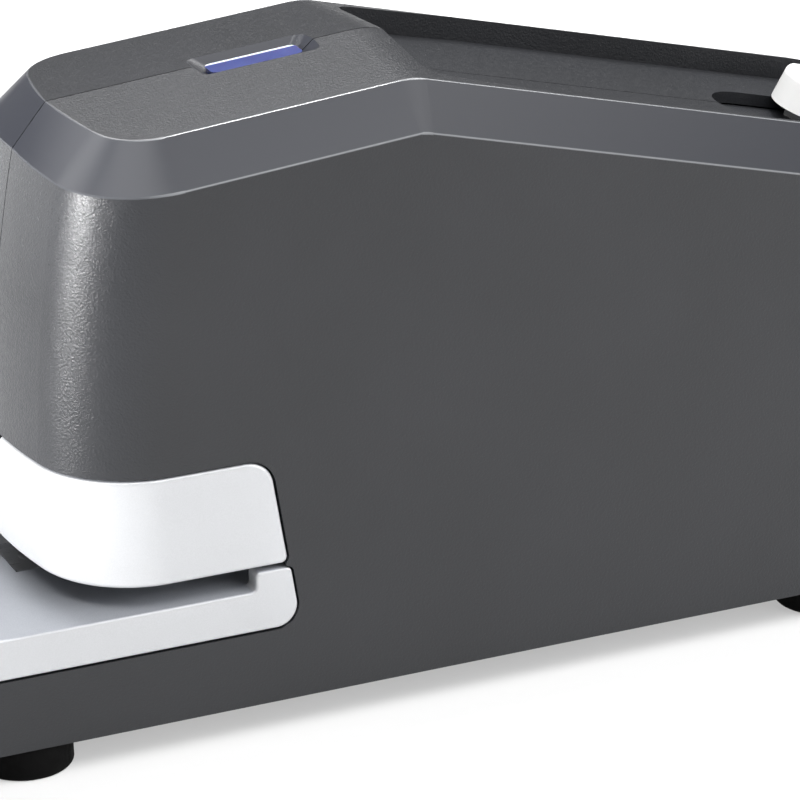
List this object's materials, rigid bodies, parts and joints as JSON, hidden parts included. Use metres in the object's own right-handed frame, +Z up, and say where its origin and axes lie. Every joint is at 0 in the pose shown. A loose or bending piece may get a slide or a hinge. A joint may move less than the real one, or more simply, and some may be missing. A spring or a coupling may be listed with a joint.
{
  "type": "electric stapler",
  "caption": "Desktop electric stapler: two-shell housing, silver nose drawer and stapling deck, motor and gears driving a cam lever and driver, rear release button.",
  "frame": {"origin": "centre of the body's footprint on the surface it stands on", "axes": "+Z up, +X towards the rear (nose towards -X), +Y towards the stapler's right side"},
  "size_m": [0.206, 0.07, 0.1148],
  "materials": {
    "charcoal_plastic": "fine moulded grain",
    "black_plastic": "moulded",
    "silver_plastic": "satin silver paint",
    "rubber": "matte",
    "steel": "zinc plated",
    "spring_steel": "drawn wire",
    "motor_steel": "plated can",
    "motor_iron": "laminated",
    "brass": "turned",
    "white_nylon": "moulded",
    "cam_steel": "hardened and oiled",
    "staple_wire": "bright wire",
    "board_green": "solder mask",
    "component_black": "moulded",
    "blue_lens": "clear tinted"
  },
  "bodies": {
    "housing": {"left_shell": "charcoal_plastic", "right_shell": "charcoal_plastic", "shell_screws": "spring_steel", "base_plate": "black_plastic", "rubber_feet": "rubber", "foot_screws": "spring_steel", "stapling_deck": "silver_plastic", "anvil": "steel", "frame_plate_left": "steel", "frame_plate_right": "steel", "frame_spacers": "steel", "frame_screws": "spring_steel", "gear_studs": "steel", "shaft_bushes": "brass", "pivot_pins": "steel", "magazine_guides": "black_plastic", "motor_can": "motor_steel", "motor_end_cap": "black_plastic", "motor_magnets": "motor_iron", "motor_terminals": "brass", "lever_collars": "steel", "trigger_bracket": "black_plastic", "paper_switch": "black_plastic", "circuit_board": "board_green", "board_posts": "black_plastic", "board_components": "component_black", "power_inlet": "black_plastic", "home_switch": "black_plastic", "lamp_window": "blue_lens", "lamp_board": "board_green"},
    "motor_rotor": {"motor_armature": "motor_iron", "motor_shaft": "steel", "motor_pinion": "brass"},
    "first_gear_set": {"first_gear": "white_nylon"},
    "middle_gear_set": {"middle_gear": "white_nylon"},
    "cam_set": {"cam_gear": "white_nylon", "cam_shaft": "steel", "drive_cam": "cam_steel", "home_disc": "white_nylon"},
    "lever": {"drive_lever": "steel", "roller_pin": "steel", "lever_spring": "spring_steel"},
    "roller": {"cam_roller": "white_nylon"},
    "driver": {"driver_holder": "steel", "driver_blade": "steel"},
    "drawer": {"nose_cover": "silver_plastic", "magazine_channel": "steel", "magazine_rail": "white_nylon", "magazine_front": "steel", "staple_strip": "staple_wire", "pusher_rod": "steel", "pusher_spring": "spring_steel"},
    "pusher": {"pusher": "white_nylon"},
    "release": {"release_button": "silver_plastic", "release_slide": "charcoal_plastic", "release_spring": "spring_steel"},
    "latch": {"latch": "steel"},
    "trigger": {"paper_trigger": "black_plastic"}
  },
  "joints": [
    {"name": "motor_spin", "type": "hinge", "parent": "housing", "child": "motor_rotor", "pos_m": [0.07865, 0, 0.05639], "axis": [0, -1, 0], "range_deg": [0, 4692]},
    {"name": "first_gear_spin", "type": "hinge", "parent": "housing", "child": "first_gear_set", "pos_m": [0.06477, 0.022, 0.03985], "axis": [0, -1, 0], "range_deg": [-1345, 0]},
    {"name": "middle_gear_spin", "type": "hinge", "parent": "housing", "child": "middle_gear_set", "pos_m": [0.04355, 0.022, 0.06106], "axis": [0, -1, 0], "range_deg": [0, 410]},
    {"name": "cam_spin", "type": "hinge", "parent": "housing", "child": "cam_set", "pos_m": [0.014, 0, 0.073], "axis": [0, -1, 0], "range_deg": [-171, 0]},
    {"name": "lever_rock", "type": "hinge", "parent": "housing", "child": "lever", "pos_m": [-0.012, 0, 0.063], "axis": [0, -1, 0], "range_deg": [0, 13.4], "deforming": ["lever_spring"]},
    {"name": "roller_spin", "type": "hinge", "parent": "lever", "child": "roller", "pos_m": [-0.001, 0.0065, 0.08205], "axis": [0, 1, 0], "continuous": true},
    {"name": "driver_slide", "type": "slide", "parent": "housing", "child": "driver", "axis": [0, 0, -1], "range_m": [0, 0.01401]},
    {"name": "drawer_slide", "type": "slide", "parent": "housing", "child": "drawer", "axis": [1, 0, 0], "range_m": [-0.065, 0]},
    {"name": "pusher_slide", "type": "slide", "parent": "drawer", "child": "pusher", "axis": [1, 0, 0], "range_m": [0, 0.012], "stiffness_N_per_m": 40, "springref_m": -0.02, "deforming": ["pusher_spring"]},
    {"name": "release_press", "type": "slide", "parent": "housing", "child": "release", "axis": [0.9706, 0, -0.2407], "range_m": [-0.006, 0], "stiffness_N_per_m": 300, "springref_m": 0.003, "deforming": ["release_spring"]},
    {"name": "latch_tip", "type": "hinge", "parent": "housing", "child": "latch", "pos_m": [0.034, -0.01, 0.052], "axis": [0, -1, 0], "range_deg": [0, 8.6]},
    {"name": "trigger_tilt", "type": "hinge", "parent": "housing", "child": "trigger", "pos_m": [-0.048, 0, 0.017], "axis": [0, 1, 0], "range_deg": [0, 12], "stiffness_Nm_per_rad": 0.02, "springref_deg": -11.46}
  ],
  "couplings": [
    {"joint": "first_gear_spin", "follows": "motor_spin", "ratio": -0.28571},
    {"joint": "middle_gear_spin", "follows": "motor_spin", "ratio": 0.086957},
    {"joint": "cam_spin", "follows": "motor_spin", "ratio": -0.036232},
    {"joint": "lever_rock", "follows": "motor_spin", "ratio": 0.0028365},
    {"joint": "driver_slide", "follows": "motor_spin", "m_per_rad": 0.00017096},
    {"joint": "latch_tip", "follows": "release_press", "rad_per_m": -24.725}
  ]
}
